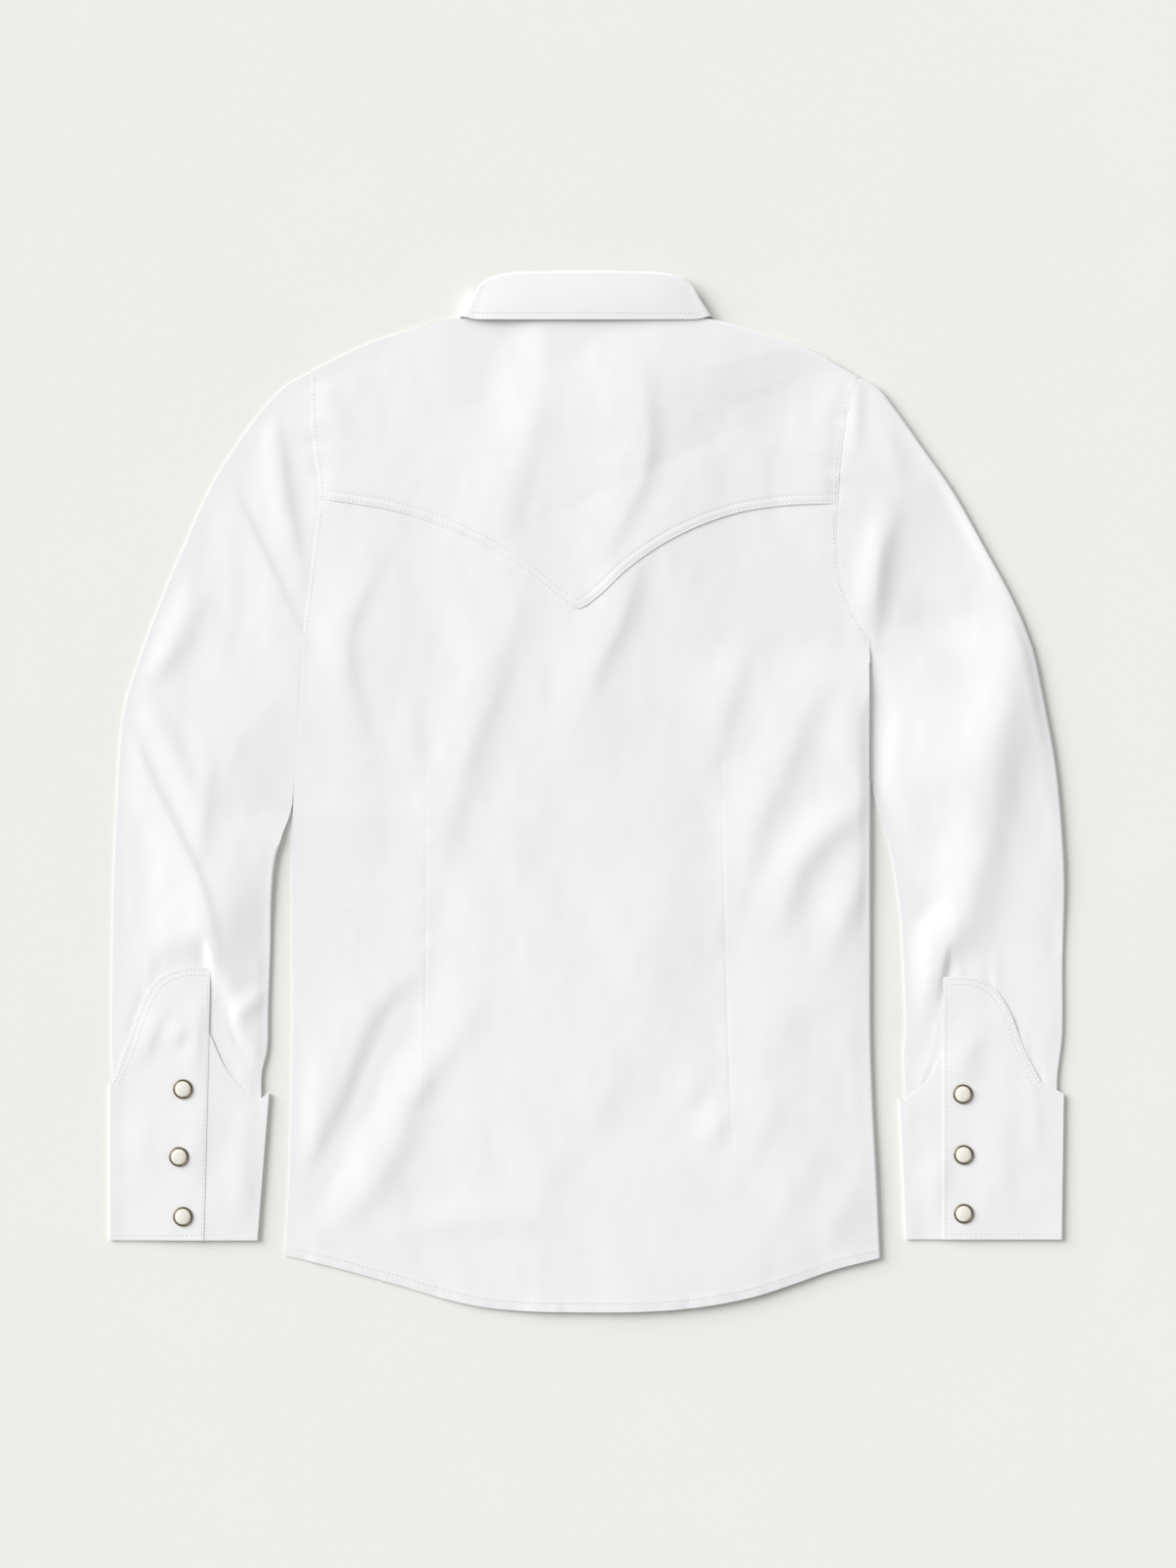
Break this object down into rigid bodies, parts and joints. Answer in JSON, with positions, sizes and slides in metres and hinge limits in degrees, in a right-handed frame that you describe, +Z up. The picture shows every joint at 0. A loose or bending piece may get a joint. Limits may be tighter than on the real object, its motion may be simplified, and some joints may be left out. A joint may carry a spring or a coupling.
{
  "type": "western snap shirt",
  "caption": "Fitted long-sleeved western shirt laid flat, back uppermost: pointed yoke, curved hem, shaped cuffs with pearl snaps, folded collar.",
  "frame": {"origin": "on the table, under the centre of the laid-out shirt's bounding box", "axes": "+Z up off the table, through the front to the back; +Y from the hem to the collar; +X towards the wearer's right"},
  "size_m": [0.6544, 0.7102, 0.0186],
  "materials": {
    "shirting": "matte plain-weave cotton",
    "snap_pearl": "pearl",
    "snap_rim": "polished"
  },
  "bodies": {
    "root": {"back": "shirting", "yoke": "shirting", "front_left": "shirting", "front_right": "shirting", "sleeve_left": "shirting", "sleeve_right": "shirting", "cuff_left": "shirting", "cuff_right": "shirting", "collar_stand": "shirting", "collar_fall": "shirting", "cuff_snap_left_1_ring": "snap_rim", "cuff_snap_left_2_ring": "snap_rim", "cuff_snap_left_3_ring": "snap_rim", "cuff_snap_right_1_ring": "snap_rim", "cuff_snap_right_2_ring": "snap_rim", "cuff_snap_right_3_ring": "snap_rim", "front_snap_1_ring": "snap_rim", "front_snap_2_ring": "snap_rim", "front_snap_3_ring": "snap_rim", "front_snap_4_ring": "snap_rim", "front_snap_5_ring": "snap_rim", "front_snap_6_ring": "snap_rim", "front_snap_7_ring": "snap_rim", "collar_snap_ring": "snap_rim", "cuff_snap_left_1_pearl": "snap_pearl", "cuff_snap_left_2_pearl": "snap_pearl", "cuff_snap_left_3_pearl": "snap_pearl", "cuff_snap_right_1_pearl": "snap_pearl", "cuff_snap_right_2_pearl": "snap_pearl", "cuff_snap_right_3_pearl": "snap_pearl", "front_snap_1_pearl": "snap_pearl", "front_snap_2_pearl": "snap_pearl", "front_snap_3_pearl": "snap_pearl", "front_snap_4_pearl": "snap_pearl", "front_snap_5_pearl": "snap_pearl", "front_snap_6_pearl": "snap_pearl", "front_snap_7_pearl": "snap_pearl", "collar_snap_pearl": "snap_pearl"}
  },
  "joints": []
}
